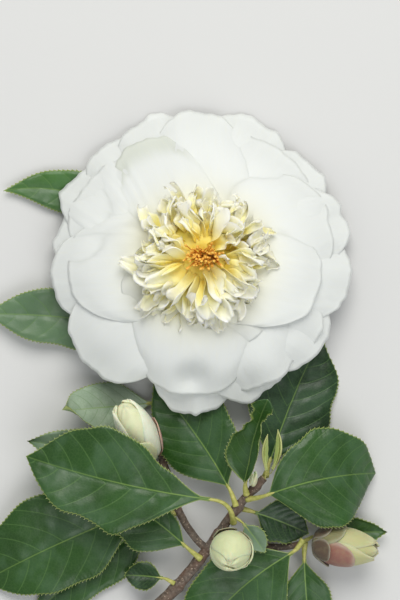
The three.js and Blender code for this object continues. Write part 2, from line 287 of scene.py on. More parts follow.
def ramp(tree, share, *stops):
    made = node(tree, "ShaderNodeValToRGB", Fac=share)
    for k, (position, colour) in enumerate(stops):
        stop = made.color_ramp.elements[k] if k < 2 else made.color_ramp.elements.new(position)
        stop.position = position
        stop.color = (*colour, 1)
    return made.outputs["Color"]


def fade(tree, value, low, high, start=0.0, end=1.0):
    """Runs smoothly from start to end as the value goes from low to high."""
    return node(tree, "ShaderNodeMapRange", {"interpolation_type": "SMOOTHSTEP"}, Value=value,
                From_Min=low, From_Max=high, To_Min=start, To_Max=end).outputs["Result"]


def speckle(tree, place, size_mm, detail=3.0, roughness=0.55):
    return node(tree, "ShaderNodeTexNoise", Vector=place, Scale=1 / (size_mm * MM),
                Detail=detail, Roughness=roughness).outputs["Fac"]


def bump(tree, shader, height, strength, depth_mm):
    made = node(tree, "ShaderNodeBump", Height=height, Strength=strength, Distance=depth_mm * MM)
    wire(tree, shader, Normal=made.outputs["Normal"])


def object_place(tree):
    return node(tree, "ShaderNodeTexCoord").outputs["Object"]


def two_tone(name, base, roughness, size_mm, dark, light, relief=None, detail=3.0):
    """A mottled material of two tones, each with its place on the ramp, and maybe a relief."""
    material, tree, shader = new_material(name, base, roughness)
    mottle = speckle(tree, object_place(tree), size_mm, detail)
    wire(tree, shader, Base_Color=ramp(tree, mottle, dark, light))
    if relief:
        bump(tree, shader, mottle, *relief)
    return material


bark, tree, shader = new_material("bark", (0.16, 0.1, 0.07), 0.85)
place = object_place(tree)
streaks = speckle(tree, place, 1.1, 5.0, 0.65)
shade = ramp(tree, streaks, (0.3, (0.045, 0.034, 0.027)), (0.75, (0.26, 0.21, 0.165)))
ruddy = fade(tree, speckle(tree, place, 6), 0.4, 0.7, 0.0, 0.6)
wire(tree, shader, Base_Color=mix_colour(tree, ruddy, shade, (0.15, 0.07, 0.04)))
bump(tree, shader, streaks, 0.6, 0.25)

cut_wood = two_tone("cut_wood", (0.55, 0.42, 0.26), 0.7, 0.4, (0.3, (0.4, 0.28, 0.16)),
                    (0.7, (0.66, 0.54, 0.36)), (0.5, 0.1), 4.0)
pore_cork = two_tone("pore_cork", (0.42, 0.33, 0.25), 0.9, 0.3, (0.3, (0.3, 0.21, 0.15)),
                     (0.7, (0.52, 0.43, 0.34)))


def new_growth(name, **sizes):
    """An empty Geometry Nodes tree with a geometry input and output and named sizes."""
    tree = bpy.data.node_groups.new(name, "GeometryNodeTree")
    tree.interface.new_socket("Geometry", in_out="INPUT", socket_type="NodeSocketGeometry")
    for size in sizes:
        tree.interface.new_socket(size, in_out="INPUT", socket_type="NodeSocketFloat")
    tree.interface.new_socket("Geometry", in_out="OUTPUT", socket_type="NodeSocketGeometry")
    source = tree.nodes.new("NodeGroupInput").outputs
    return tree, source, tree.nodes.new("NodeGroupOutput").inputs["Geometry"]


def grow(piece, tree, **sizes):
    """Runs a Geometry Nodes tree on a piece and keeps its result as the piece's plain mesh."""
    modifier = piece.modifiers.new(tree.name, "NODES")
    modifier.node_group = tree
    for item in tree.interface.items_tree:
        if item.in_out == "INPUT" and item.name in sizes:
            modifier[item.identifier] = sizes[item.name]
    bpy.context.view_layer.update()
    evaluated = piece.evaluated_get(bpy.context.evaluated_depsgraph_get())
    grown = bpy.data.meshes.new_from_object(evaluated)
    piece.modifiers.clear()
    piece.data = grown


def scatter(tree, material, **how):
    """Copies of an instance on points, made into plain mesh and given a material."""
    copies = node(tree, "GeometryNodeInstanceOnPoints", **how)
    loose = node(tree, "GeometryNodeRealizeInstances", Geometry=copies.outputs["Instances"])
    return node(tree, "GeometryNodeSetMaterial", Geometry=loose.outputs["Geometry"],
                Material=material).outputs["Geometry"]


def join(tree, *parts):
    made = tree.nodes.new("GeometryNodeJoinGeometry")
    for part in parts:
        tree.links.new(part, made.inputs[0])
    return made.outputs[0]


pore_sizes = dict(Density=PORES_PER_M2, Radius=PORE_RADIUS)
pore_tree, source, result = new_growth("bark_pores", **pore_sizes)
spots = node(pore_tree, "GeometryNodeDistributePointsOnFaces", Mesh=source["Geometry"],
             Density=source["Density"], Seed=7)
bead = node(pore_tree, "GeometryNodeMeshIcoSphere", Radius=source["Radius"], Subdivisions=2)
size = node(pore_tree, "FunctionNodeRandomValue", {"data_type": "FLOAT_VECTOR"},
            i0=(0.5, 0.9, 0.35), i1=(1.0, 2.0, 0.6), Seed=11)
beads = scatter(pore_tree, pore_cork, Points=spots.outputs["Points"], Instance=bead.outputs["Mesh"],
                Rotation=spots.outputs["Rotation"], Scale=size.outputs["Value"])
pore_tree.links.new(join(pore_tree, beads, source["Geometry"]), result)

for seed, (name, stem) in enumerate(STEMS.items()):
    line, ahead, length = smooth_path(stem["path"], WOOD_STEPS)
    run = np.linspace(0, length, WOOD_STEPS)[:, None]
    around = np.linspace(0, 2 * np.pi, WOOD_SIDES, endpoint=False)[None, :]
    radius = stem["foot"] + (stem["tip"] - stem["foot"]) * run / length + 0 * around
    for k, knot in enumerate(stem["knots"]):
        past = (run - knot * length) / KNOT_LENGTH
        collar = np.exp(-np.where(past < 0, past / 1.6, past * 1.8) ** 2)
        radius = radius + stem["swell"] * collar * (0.4 + 0.6 * np.cos(around - SCAR_TURN * k) ** 2)
    wrapped = field(np.cos(around), np.sin(around), 0.16 * run)
    cracks = grain(wrapped, 0.42, seed)
    crazing = np.abs(grain(wrapped * [1, 1, 3], 0.2, seed + 5))
    radius = radius * (1 + BARK_RELIEF * (cracks - 0.6 * crazing))
    slant = np.exp(-run / CUT_EASING) * stem["cut"] * stem["foot"] * np.sin(around)
    points, faces = tube(line, radius, WOOD_SIDES, slant)
    kinds = [0] * (len(faces) - 2 * WOOD_SIDES) + [1] * 2 * WOOD_SIDES
    wood = mesh_piece(name, put(points), faces, [bark, cut_wood], kinds)
    grow(wood, pore_tree, **pore_sizes)
    finish(wood, "bark", name)

# ------------------------
# The leaves: stiff waxy blades, dark green above and dull pale green beneath, on short
# yellow-green stalks that run on as midribs. The blade is sunk along its side veins,
# puffed up between them, and edged with fine forward teeth that end in pale glands.

LEAF_STEP = 0.27
LEAF_CELLS = 30
LEAF_THICKNESS = 0.42
EDGE_THICKNESS = 0.16
ROOT_HALF = 0.7
TIP_HALF = 0.12
OUTLINE_WAVE = 0.15
EDGE_WAVES = 9
TOOTH_PITCH = 1.35
TOOTH_DEPTH = 0.5
VEIN_PAIRS = 7.5
VEIN_SWEEP = 0.55
PUFF = 0.25
MIDRIB_RADIUS = 0.55
STALK_RADIUS = 0.9
STALK_HEEL = 2.2
EDGE_SCALE = 20.0
TIP_LENGTH = 0.4 * MM
TIP_RADIUS = 0.11 * MM

DARK = (0.022, 0.071, 0.011)
# A very dark green: partly the leaves' own dark green, partly painted shade for leaves that lie in
# shadow.
DEEP = (0.009, 0.034, 0.007)
FRESH = (0.03, 0.09, 0.012)
MATT = (0.1, 0.17, 0.085)
SILVERY = (0.17, 0.25, 0.16)
GREYED = (0.36, 0.45, 0.33)
LIVELY = (0.05, 0.14, 0.025)
# A pale grey-green painted sheen, laid on the leaves in soft patches.
DUST = (0.09, 0.17, 0.095)


def leaf(base, leave, rise, petiole, heading, turn, pitch, droop, length, width,
         belly=0.9, skew=0, roll=0, twist=0, fold=5, wave=0.5, tint=DARK, lip=-0.5, flare=0, lobes=()):
    """One leaf: the stalk's start and bend, the blade's course, size, roll and colour."""
    return dict(locals())


LEAVES = {
    "leaf_big_left": leaf(
        (11, -73.4, 15.4), 100, 40, 13, 172, -10, 8, -22, 63.5, 32, belly=1.25, skew=-0.02, fold=7,
        wave=1.4, lobes=((1, 0.46, 2.6), (1, 0.66, -1.6), (-1, 0.3, -2.2), (-1, 0.62, 1.2))),
    "leaf_low_left": leaf(
        (-11.4, -69.6, 5.4), 175, 20, 8, 200, 10, 6, -24, 63, 33, belly=1.0, skew=-0.08, fold=6,
        wave=1.2),
    "leaf_under_left": leaf(
        (-9.6, -72.6, 4.2), 190, 0, 7, 214, 8, -2, -2, 52, 20, fold=4),
    "leaf_fork": leaf(
        (-1.4, -86, 10.6), 140, 10, 5, 137, 16, 3, -6, 34, 19, skew=0.3, fold=4),
    "leaf_foot": leaf(
        (-10.6, -94.8, 8.4), 150, 0, 2.5, 172, 10, -4, -10, 13, 10, fold=8, wave=0.4, tint=DEEP),
    "leaf_curled_left": leaf(
        (-13, -35.4, 3.4), 165, 10, 4, 186, -6, 0, 54, 34, 17, roll=-6, twist=50, fold=6,
        wave=0.7, tint=GREYED, flare=2.2),
    "leaf_tip_left": leaf(
        (-16, -56.5, 3.4), 170, 10, 6, 165, 6, 8, 4, 38, 14, fold=10, wave=0.9, tint=SILVERY,
        flare=1.5),
    "leaf_centre": leaf(
        (11.4, -67.2, 13.6), 108, 0, 5, 119, 14, -10, -2, 44, 27, roll=-14, twist=8, wave=0.7),
    "leaf_curled_top": leaf(
        (15.2, -63.4, 16.2), 95, 30, 3, 84, -16, 24, 14, 34, 15, belly=0.66, roll=-56, twist=50, fold=30,
        wave=1, tint=FRESH, lip=1.4, flare=2.2, lobes=(
            (1, 0.6, -2), (-1, 0.6, -2), (1, 0.74, -3), (-1, 0.74, -3), (1, 0.98, 4.2), (-1, 0.98, 3.6))),
    "leaf_right": leaf(
        (17.6, -66.6, 14.8), 10, 30, 6, 22, -28, 17, -78, 44, 32, fold=4, wave=1.5,
        lobes=((1, 0.42, 1.3), (-1, 0.5, 0.8))),
    "leaf_bottom": leaf(
        (33.6, -82.8, 9.8), 235, 0, 4, 210, 30, -2, -17, 51, 33, skew=0.14, wave=0.8),
    "leaf_bottom_right": leaf(
        (35.4, -84.4, 6.4), 268, -15, 4, 272, 8, -5, -4, 34, 17),
    "leaf_small": leaf(
        (13, -74, 12.4), 330, 10, 2.5, 310, -8, -4, -6, 12, 7.8, fold=10, wave=0.4, tint=SILVERY),
    "leaf_dark_right": leaf(
        (15.2, -70.8, 9), 345, -10, 4, 341, -6, -10, 10, 19.5, 15, fold=3, wave=0.4, tint=DEEP),
    # This leaf's very dark tint is partly painted shade, for where it lies beneath the bloom's rim.
    "leaf_behind_right": leaf(
        (22.6, -57.6, 11), 75, -45, 4, 71, -8, -14, 8, 47, 30, roll=12, wave=0.7, tint=DEEP),
    "leaf_right_bud": leaf(
        (37, -81, 5.2), 30, -20, 3, 6, -6, -6, 8, 24, 10, fold=6, wave=0.8, tint=FRESH, lip=0.6,
        flare=1.2),
    "leaf_upper_left": leaf(
        (-4.4, 4, 3), 130, -8, 12, 123, 68, -1.5, 4, 64, 17, fold=4, tint=LIVELY),
    "leaf_mid_left": leaf(
        (-9, -11.6, 2.4), 180, 5, 8, 167, 14, 4, -4, 57, 21, fold=6, wave=0.7, tint=MATT),
    "young_leaf_left": leaf(
        (22, -58, 17), 90, 20, 1.5, 96, -18, 12, -6, 12, 2.6, roll=40, fold=20, wave=0),
    "young_leaf_right": leaf(
        (21.8, -59.2, 14.6), 20, 20, 4, 66, 34, 14, -8, 14, 3, roll=-40, fold=20, wave=0),
}


def reckon(tree, operation, *values):
    places = {f"i{k}": value for k, value in enumerate(values)}
    return node(tree, "ShaderNodeMath", {"operation": operation}, **places).outputs[0]


def mark(tree, name, output="Vector"):
    return node(tree, "ShaderNodeAttribute", {"attribute_name": name}).outputs[output]


def own_map(tree):
    return node(tree, "ShaderNodeUVMap").outputs["UV"]


def split(tree, vector):
    return node(tree, "ShaderNodeSeparateXYZ", Vector=vector).outputs


def leaf_skin(name, roughness, coat, base_from, vein, rib, edge, vein_share, network, dust):
    """Leaf surface: veins and network from the blade's own map, edge and tint from marks, and soft
    patches of painted sheen.
    """
    material, tree, shader = new_material(name, base_from or (0.1, 0.2, 0.08), roughness)
    place = object_place(tree)
    across = reckon(tree, "ABSOLUTE", split(tree, own_map(tree))["X"])
    blade = split(tree, mark(tree, "blade"))
    from_edge, phase, share_along = blade["X"], blade["Y"], blade["Z"]
    base = mark(tree, "tint", "Color")
    if base_from:
        base = mix_colour(tree, 0.7, base, base_from)
    # Soft patches of painted sheen over the leaf's green.
    dusty = fade(tree, speckle(tree, place, 13), 0.42, 0.62, 0.0, dust)
    base = mix_colour(tree, dusty, base, DUST)
    near_vein = reckon(tree, "SUBTRACT", reckon(tree, "FRACT", phase), 0.5)
    vein_line = fade(tree, reckon(tree, "ABSOLUTE", near_vein), 0.0, 0.05, vein_share, 0.0)
    base = mix_colour(tree, vein_line, base, vein)
    cells = node(tree, "ShaderNodeTexVoronoi", {"feature": "DISTANCE_TO_EDGE"}, Vector=place,
                 Scale=1 / (1.1 * MM))
    net = fade(tree, cells.outputs["Distance"], 0.0, 0.12, network, 0.0)
    base = mix_colour(tree, net, base, vein)
    rib_line = reckon(tree, "MULTIPLY", fade(tree, across, 0.01, 0.03, 0.75, 0.0),
                      fade(tree, share_along, 0.1, 1.0, 1.0, 0.35))
    base = mix_colour(tree, rib_line, base, rib)
    base = mix_colour(tree, fade(tree, from_edge, 0.004, 0.024, 0.85, 0.0), base, edge)
    gloss = fade(tree, speckle(tree, place, 3), 0.3, 0.7, roughness - 0.06, roughness + 0.08)
    wire(tree, shader, Base_Color=base, Roughness=gloss, Specular_IOR_Level=0.36,
         Coat_Weight=coat, Coat_Roughness=0.3)
    height = reckon(tree, "SUBTRACT", speckle(tree, place, 0.8), net)
    bump(tree, shader, reckon(tree, "SUBTRACT", height, vein_line), 0.35, 0.12)
    return material


leaf_face = leaf_skin("leaf_face", 0.34, 0.05, None, (0.1, 0.2, 0.05), (0.2, 0.32, 0.07),
                      (0.3, 0.38, 0.1), 0.5, 0.14, 0.3)
leaf_back = leaf_skin("leaf_back", 0.6, 0.0, (0.16, 0.25, 0.09), (0.28, 0.36, 0.14),
                      (0.4, 0.46, 0.16), (0.42, 0.48, 0.16), 0.5, 0.3, 0.0)
young_skin = leaf_skin("young_skin", 0.45, 0.0, (0.42, 0.52, 0.14), (0.5, 0.56, 0.2),
                       (0.6, 0.62, 0.25), (0.6, 0.6, 0.26), 0.2, 0.1, 0.0)

leaf_stalk = two_tone("leaf_stalk", (0.5, 0.48, 0.14), 0.5, 1.2, (0.35, (0.36, 0.38, 0.08)),
                      (0.7, (0.58, 0.54, 0.17)))
gland_tip = two_tone("gland_tip", (0.6, 0.62, 0.3), 0.5, 0.9, (0.4, (0.42, 0.45, 0.14)),
                     (0.6, (0.72, 0.72, 0.4)))


def smooth(value, low=0.0, high=1.0):
    share = np.clip((value - low) / (high - low), 0, 1)
    return share * share * (3 - 2 * share)


def leaf_course(leaf, run):
    """Direction, level heading and share of the blade passed, at distances along a leaf."""
    bend = smooth(run / leaf["petiole"])
    t = np.clip((run - leaf["petiole"]) / leaf["length"], 0, 1)
    heading = np.radians(leaf["leave"] + (leaf["heading"] - leaf["leave"]) * bend + leaf["turn"] * t)
    pitch = np.radians(leaf["rise"] + (leaf["pitch"] - leaf["rise"]) * bend + leaf["droop"] * t)
    level = np.cos(pitch)
    return field(level * np.cos(heading), level * np.sin(heading), np.sin(pitch)), heading, t


def leaf_axes(leaf):
    """The leaf's middle line from stalk to tip, with the directions across and above it."""
    total = leaf["petiole"] + leaf["length"]
    run = np.linspace(0, total, round(total / LEAF_STEP) + 1)
    steps, _, _ = leaf_course(leaf, (run[1:] + run[:-1]) / 2)
    line = np.vstack([[0, 0, 0], np.cumsum(steps, axis=0) * run[1]]) + leaf["base"]
    ahead, heading, t = leaf_course(leaf, run)
    left = field(-np.sin(heading), np.cos(heading), 0)
    over = np.cross(ahead, left)
    roll = np.radians(leaf["roll"] + leaf["twist"] * t)[:, None]
    side = left * np.cos(roll) + over * np.sin(roll)
    return run, t, line, side, over * np.cos(roll) - left * np.sin(roll)


def shell(top, bottom):
    """Points and faces of a closed thin shell between two sheets of points."""
    rows, columns = top.shape[:2]
    count = rows * columns
    index = np.arange(count).reshape(rows, columns)
    a, b, c, d = index[:-1, :-1], index[:-1, 1:], index[1:, 1:], index[1:, :-1]
    upper = np.stack([d, c, b, a], -1).reshape(-1, 4)
    lower = np.stack([a, b, c, d], -1).reshape(-1, 4) + count
    rim = np.concatenate([index[:, 0], index[-1, 1:], index[-2::-1, -1], index[0, -2:0:-1]])
    ahead = np.roll(rim, -1)
    edge = np.stack([ahead, rim, rim + count, ahead + count], -1)
    faces = np.vstack([upper, lower, edge]).tolist()
    return np.vstack([top.reshape(-1, 3), bottom.reshape(-1, 3)]), faces


def both(values):
    """A grid's values as one list, once for each of a shell's two sheets."""
    return np.vstack([values.reshape(-1, values.shape[-1])] * 2)


def leaf_blade(leaf, seed, toothed):
    """Upper and lower sheets of a blade, its own map and marks, its tooth tips and their ways."""
    run, t, line, side, over = leaf_axes(leaf)
    blade = run >= leaf["petiole"] - 0.5
    run, t, line, side, over = run[blade], t[blade], line[blade], side[blade], over[blade]
    u = np.linspace(-1, 1, LEAF_CELLS + 1)[None, :]
    fullness = 1.2 - 0.5 * smooth(t, 0, 0.5) + 0.3 * smooth(t, 0.75, 1)
    spread = (np.sin(np.pi * t ** leaf["belly"]).clip(0) ** fullness)[:, None]
    least = ROOT_HALF + (TIP_HALF - ROOT_HALF) * smooth(t)[:, None]
    half = np.maximum(least, leaf["width"] / 2 * spread)
    hand = np.sign(u)
    scallop = field(4.5 * t[:, None], 3 * hand, 0)
    half = half * (1 + leaf["skew"] * hand + OUTLINE_WAVE * grain(scallop, 1.0, seed))
    for lobe_hand, lobe_t, lobe_size in leaf["lobes"]:
        half = half + lobe_size * (hand == lobe_hand) * np.exp(-((t[:, None] - lobe_t) / 0.07) ** 2)
    distance = (run - leaf["petiole"])[:, None]
    saw = (distance / TOOTH_PITCH + 0.31 * np.sign(u)) % 1
    sharp = smooth(t, 0.08, 0.2)[:, None] * smooth(t, 1.0, 0.96)[:, None] * toothed
    reach = u * (half + TOOTH_DEPTH * sharp * (saw - 0.4) * np.abs(u) ** 14)
    fold = math.radians(leaf["fold"])
    phase = EDGE_WAVES * t[:, None] + np.where(u > 0, 0.8, 2.6)
    lift = np.abs(reach) * math.sin(fold) + leaf["wave"] * spread * u * u * np.sin(phase)
    ribs = VEIN_PAIRS * (distance - VEIN_SWEEP * np.abs(reach) * (1 + np.abs(u))) / leaf["length"]
    ribs = ribs + 0.45 * (u > 0) + 10
    puff = PUFF * leaf["width"] / 30 * (np.abs(np.sin(np.pi * (ribs - 0.5))) ** 0.7 - 0.6)
    puff = puff * smooth(np.abs(u), 0.02, 0.2) * smooth(np.abs(u), 1.0, 0.75) * smooth(spread, 0, 0.3)
    groove = -0.35 * np.exp(-(reach / 0.9) ** 2) * spread
    edge = smooth(np.abs(u), 0.8, 1.0)
    curl = edge * leaf["lip"] * spread + leaf["flare"] * smooth(t, 0.72, 1.0)[:, None] * np.abs(u) ** 2
    flat = line[:, None] + reach[:, :, None] * math.cos(fold) * side[:, None]
    rough = 0.34 * grain(flat, 8.0, seed) + 0.2 * grain(flat, 3.3, seed + 3)
    middle = flat + (lift + puff + groove + curl + rough)[:, :, None] * over[:, None]
    thick = (LEAF_THICKNESS + (EDGE_THICKNESS - LEAF_THICKNESS) * np.abs(u) ** 3)[:, :, None] / 2
    top, bottom = middle + thick * over[:, None], middle - thick * over[:, None]
    marks = field(np.abs(half) * (1 - np.abs(u)) / EDGE_SCALE, ribs, t[:, None])
    tips, ways = [], []
    for rim, inner in ((0, 1), (-1, -2)):
        peaks = np.nonzero((saw[:-1, rim] > saw[1:, rim]) & (sharp[:-1, 0] > 0.2))[0]
        out = unit(middle[peaks, rim] - middle[peaks, inner])
        tips.append(middle[peaks, rim])
        ways.append(unit(out + 0.9 * unit(line[peaks + 1] - line[peaks])))
    uv = field(reach, distance) / 10
    return top, bottom, both(uv), both(marks), np.vstack(tips), np.vstack(ways)


def leaf_piece(name, leaf, seed, faces_of, toothed):
    """A leaf's blade and stalk as one piece, with its tooth tips and the ways they point."""
    top, bottom, uv, marks, tips, ways = leaf_blade(leaf, seed, toothed)
    points, faces = shell(top, bottom)
    count = (top.shape[0] - 1) * (top.shape[1] - 1)
    kinds = [0] * count + [1] * count + [0] * (len(faces) - 2 * count)
    run, _, line, _, over = leaf_axes(leaf)
    rib = line[: round(len(line) * 0.9)]
    run = run[: len(rib)]
    slim = min(1.0, leaf["width"] / 14)
    radius = slim * (STALK_RADIUS + (MIDRIB_RADIUS - STALK_RADIUS) * smooth(run / leaf["petiole"]))
    radius = radius * (1 - 0.75 * smooth(run, leaf["petiole"], run[-1]))
    drop = (MIDRIB_RADIUS + 0.2) * slim * smooth(run, leaf["petiole"] - 1, leaf["petiole"] + 4)
    rib = rib - drop[:, None] * over[: len(rib)]
    heel = STALK_HEEL * np.linspace(1, 0, 6, endpoint=False)[:, None]
    rib = np.vstack([rib[0] - heel * unit(rib[1] - rib[0]) - 0.15 * heel * over[0], rib])
    radius = np.concatenate([slim * STALK_RADIUS * (1 + 0.16 * heel[:, 0]), radius])
    stalk_points, stalk_faces = tube(rib, radius, 12)
    faces += [[len(points) + k for k in face] for face in stalk_faces]
    kinds += [2] * len(stalk_faces)
    uv = np.vstack([uv, np.zeros((len(stalk_points), 2))])
    marks = np.vstack([marks, np.ones((len(stalk_points), 3))])
    where = np.vstack([points, stalk_points])
    clouds = 1 + 0.34 * grain(where, 12.0, seed + 9)
    piece = mesh_piece(name, put(where), faces, faces_of, kinds, uv, blade=marks,
                       tint=np.array(leaf["tint"]) * clouds[:, None])
    return piece, put(tips), ways


all_tips = []
all_ways = []
for seed, (name, shape) in enumerate(LEAVES.items()):
    young = name.startswith("young")
    faces_of = [young_skin, young_skin, leaf_stalk] if young else [leaf_face, leaf_back, leaf_stalk]
    blade, tips, ways = leaf_piece(name, shape, seed + 20, faces_of, 0.0 if young else 1.0)
    finish(blade, "young_leaf" if young else "leaf", name)
    if not young:
        all_tips.append(tips)
        all_ways.append(ways)


def along_way(tree):
    """The turn that points a copy along the way kept on its point."""
    way = node(tree, "GeometryNodeInputNamedAttribute", {"data_type": "FLOAT_VECTOR"}, Name="way")
    return node(tree, "FunctionNodeAlignRotationToVector", {"axis": "Z"},
                Vector=way.outputs["Attribute"]).outputs["Rotation"]


def bare_points(name, places, ways):
    """An object of loose points, each with the way its copy is to point."""
    mesh = bpy.data.meshes.new(name)
    mesh.from_pydata(places.tolist(), [], [])
    layer = mesh.attributes.new("way", "FLOAT_VECTOR", "POINT")
    layer.data.foreach_set("vector", ways.astype(np.float32).ravel())
    piece = bpy.data.objects.new(name, mesh)
    scene.collection.objects.link(piece)
    return piece


tip_sizes = dict(Length=TIP_LENGTH, Radius=TIP_RADIUS)
tip_tree, source, result = new_growth("tooth_glands", **tip_sizes)
cone = node(tip_tree, "GeometryNodeMeshCone", {"fill_type": "TRIANGLE_FAN"}, Vertices=5,
            Radius_Bottom=source["Radius"], Depth=source["Length"])
cones = scatter(tip_tree, gland_tip, Points=source["Geometry"], Instance=cone.outputs["Mesh"],
                Rotation=along_way(tip_tree))
tip_tree.links.new(cones, result)
leaf_glands = bare_points("leaf_glands", np.vstack(all_tips), np.vstack(all_ways))
grow(leaf_glands, tip_tree, **tip_sizes)
finish(leaf_glands, "leaf")

# ------------------------
# The flower buds: eggs of tight overlapping scales, green and pink at the foot, cream
# where the petals push out. Each scale is a thin shell laid over those inside it.

BUD_FULLNESS = 0.72
SCALE_THICKNESS = 0.35
SCALE_ACROSS = 17
SCALE_ALONG = 20
CORE_ROWS = 26
CORE_SIDES = 24
CREAM = (0.8, 0.81, 0.52)
WHITE_PETAL = (0.85, 0.86, 0.68)
CREAM_GREEN = (0.66, 0.7, 0.4)
GREEN_SCALE = (0.34, 0.42, 0.14)
PINK_SCALE = (0.5, 0.2, 0.17)
DUSKY_PINK = (0.27, 0.1, 0.08)
FADED_GOLD = (0.5, 0.49, 0.23)
OLIVE_SCALE = (0.2, 0.19, 0.08)
BROWN_SCALE = (0.09, 0.05, 0.035)


def scales(count, start, end, half, lift, tint, first=0, twist=0, tip_lift=0.0, step=None):
    """A ring of like scales, evenly turned round the bud or by the given step."""
    step = 360 / count if step is None else step
    return [dict(azimuth=first + k * step, start=start, end=end, half=half, lift=lift + 0.12 * k,
                 tint=tint, twist=twist, tip_lift=tip_lift) for k in range(count)]


BUDS = {
    "bud_ball": dict(
        base=(10.8, -79.6, 13.4), heading=262, pitch=58, length=15, radius=6.3, widest=0.5,
        core=CREAM, scales=scales(2, 0.1, 1.0, 95, 0.1, CREAM_GREEN, 0)
        + scales(2, 0.06, 0.985, 92, 0.5, CREAM_GREEN, 82, 10, 0.0, 172)
        + scales(1, 0.04, 0.62, 60, 1.1, CREAM_GREEN, 330)
        + scales(1, 0.04, 0.5, 52, 1.1, PINK_SCALE, 235)
        + scales(3, 0.0, 0.3, 56, 1.5, OLIVE_SCALE, 10)),
    "bud_left": dict(
        base=(-15.2, -53.4, 6.6), heading=121, pitch=31, length=25, radius=5.3, widest=0.55,
        fullness=0.45, core=CREAM, scales=scales(3, 0.1, 1.0, 85, 0.1, CREAM, 60, 50, 0.2)
        + scales(2, 0.08, 0.95, 88, 0.5, WHITE_PETAL, 150, 60, 0.15, 150)
        + scales(2, 0.04, 0.5, 60, 0.95, CREAM_GREEN, 60, 0, 0.3)
        + scales(2, 0.0, 0.5, 52, 1.4, PINK_SCALE, 200, 0, 0.3, 75)),
    "bud_right": dict(
        base=(37.6, -81.8, 11), heading=-6, pitch=4, length=22.5, radius=5.7, widest=0.46, fullness=0.6,
        core=OLIVE_SCALE, scales=scales(3, 0.1, 0.99, 80, 0.1, FADED_GOLD, 70, 30, 0.2)
        + scales(3, 0.06, 0.93, 74, 0.5, FADED_GOLD, 10, 25, 0.35)
        + scales(2, 0.02, 0.68, 66, 1.0, DUSKY_PINK, 136, 0, 0.3, 110)
        + scales(1, 0.02, 0.5, 56, 1.1, OLIVE_SCALE, 30, 0, 0.4)
        + scales(4, 0.0, 0.3, 46, 1.5, BROWN_SCALE, 20, 0, 0.6)),
    "bud_tip": dict(
        base=(17.4, -62, 17), heading=78, pitch=40, length=6, radius=0.9, widest=0.35,
        core=GREEN_SCALE, scales=scales(3, 0.05, 0.95, 70, 0.05, CREAM, 20)),
}


bud_skin, tree, shader = new_material("bud_skin", CREAM, 0.5)
blotch = fade(tree, speckle(tree, object_place(tree), 2.4), 0.4, 0.7, 0.0, 0.16)
tint = mix_colour(tree, blotch, mark(tree, "tint", "Color"), (0.45, 0.42, 0.2))
ribs = node(tree, "ShaderNodeTexWave", {"bands_direction": "X"}, Vector=own_map(tree), Scale=9.0,
            Distortion=2.0, Detail=2.0, Detail_Scale=2.0).outputs["Fac"]
tint = mix_colour(tree, fade(tree, ribs, 0.3, 0.9, 0.0, 0.14), tint, (0.3, 0.3, 0.12))
wire(tree, shader, Base_Color=tint, Subsurface_Weight=0.15, Subsurface_Scale=0.001, Sheen_Weight=0.15)
bump(tree, shader, ribs, 0.3, 0.08)


def bud_axes(bud):
    heading, pitch = math.radians(bud["heading"]), math.radians(bud["pitch"])
    ahead = np.array([math.cos(pitch) * math.cos(heading), math.cos(pitch) * math.sin(heading),
                      math.sin(pitch)])
    left = np.array([-math.sin(heading), math.cos(heading), 0])
    return ahead, left, np.cross(ahead, left)


def on_egg(bud, t, angle, lift):
    """Points on a bud's egg, at shares t of its length and angles round it, raised by lift."""
    ahead, left, over = bud_axes(bud)
    power = math.log(0.5) / math.log(bud["widest"])
    t = np.clip(t, 0.004, 0.996)
    egg = np.sin(np.pi * t ** power) ** bud.get("fullness", BUD_FULLNESS)
    radius = (bud["radius"] * egg + lift * np.clip(3 * egg, 0, 1))[..., None]
    end_push = (lift * smooth(t, 0.8, 1.0))[..., None]
    spoke = np.cos(angle)[..., None] * left + np.sin(angle)[..., None] * over
    middle = np.array(bud["base"]) + ((bud["length"] * t)[..., None] + end_push) * ahead
    return middle + radius * spoke


def bud_scale(bud, scale, seed):
    u = np.linspace(-1, 1, SCALE_ACROSS)[None, :]
    v = np.linspace(0, 0.99, SCALE_ALONG)[:, None]
    span = np.sqrt(1 - v ** 3.2) * (0.75 + 0.25 * smooth(v, 0, 0.4))
    angle = np.radians(scale["azimuth"] + scale["half"] * u * span + scale["twist"] * v)
    t = scale["start"] + (scale["end"] - scale["start"]) * v
    wobble = 0.12 * np.sin(5 * u + seed) * v
    lift = scale["lift"] + scale["tip_lift"] * v ** 4 + wobble - 0.25 * u ** 4
    outer = on_egg(bud, t, angle, lift + SCALE_THICKNESS)
    inner = on_egg(bud, t, angle, lift)
    points, faces = shell(inner, outer)
    margin = (smooth(np.abs(u), 0.75, 1.0) + smooth(v, 0.85, 1.0)).clip(0, 1)[..., None]
    tint = np.array(scale["tint"]) * (0.9 + 0.2 * v[..., None])
    tint = tint + 0.3 * margin * (np.array(WHITE_PETAL) - tint)
    return points, faces, both(field(u, v)), both(tint)


def egg_core(bud):
    t = np.linspace(0.004, 0.99, CORE_ROWS)[:, None]
    angle = np.linspace(0, 2 * np.pi, CORE_SIDES, endpoint=False)[None, :]
    points, faces = close_rings(on_egg(bud, t, angle, 0.0))
    return points, faces, np.zeros((len(points), 2)), np.tile(bud["core"], (len(points), 1))


def gather(parts):
    """Joins parts of points, faces, map and tint into one of each."""
    points, faces, uv, tint = [], [], [], []
    count = 0
    for part_points, part_faces, part_uv, part_tint in parts:
        faces += [[count + k for k in face] for face in part_faces]
        points.append(part_points)
        uv.append(part_uv)
        tint.append(part_tint)
        count += len(part_points)
    return np.vstack(points), faces, np.vstack(uv), np.vstack(tint)


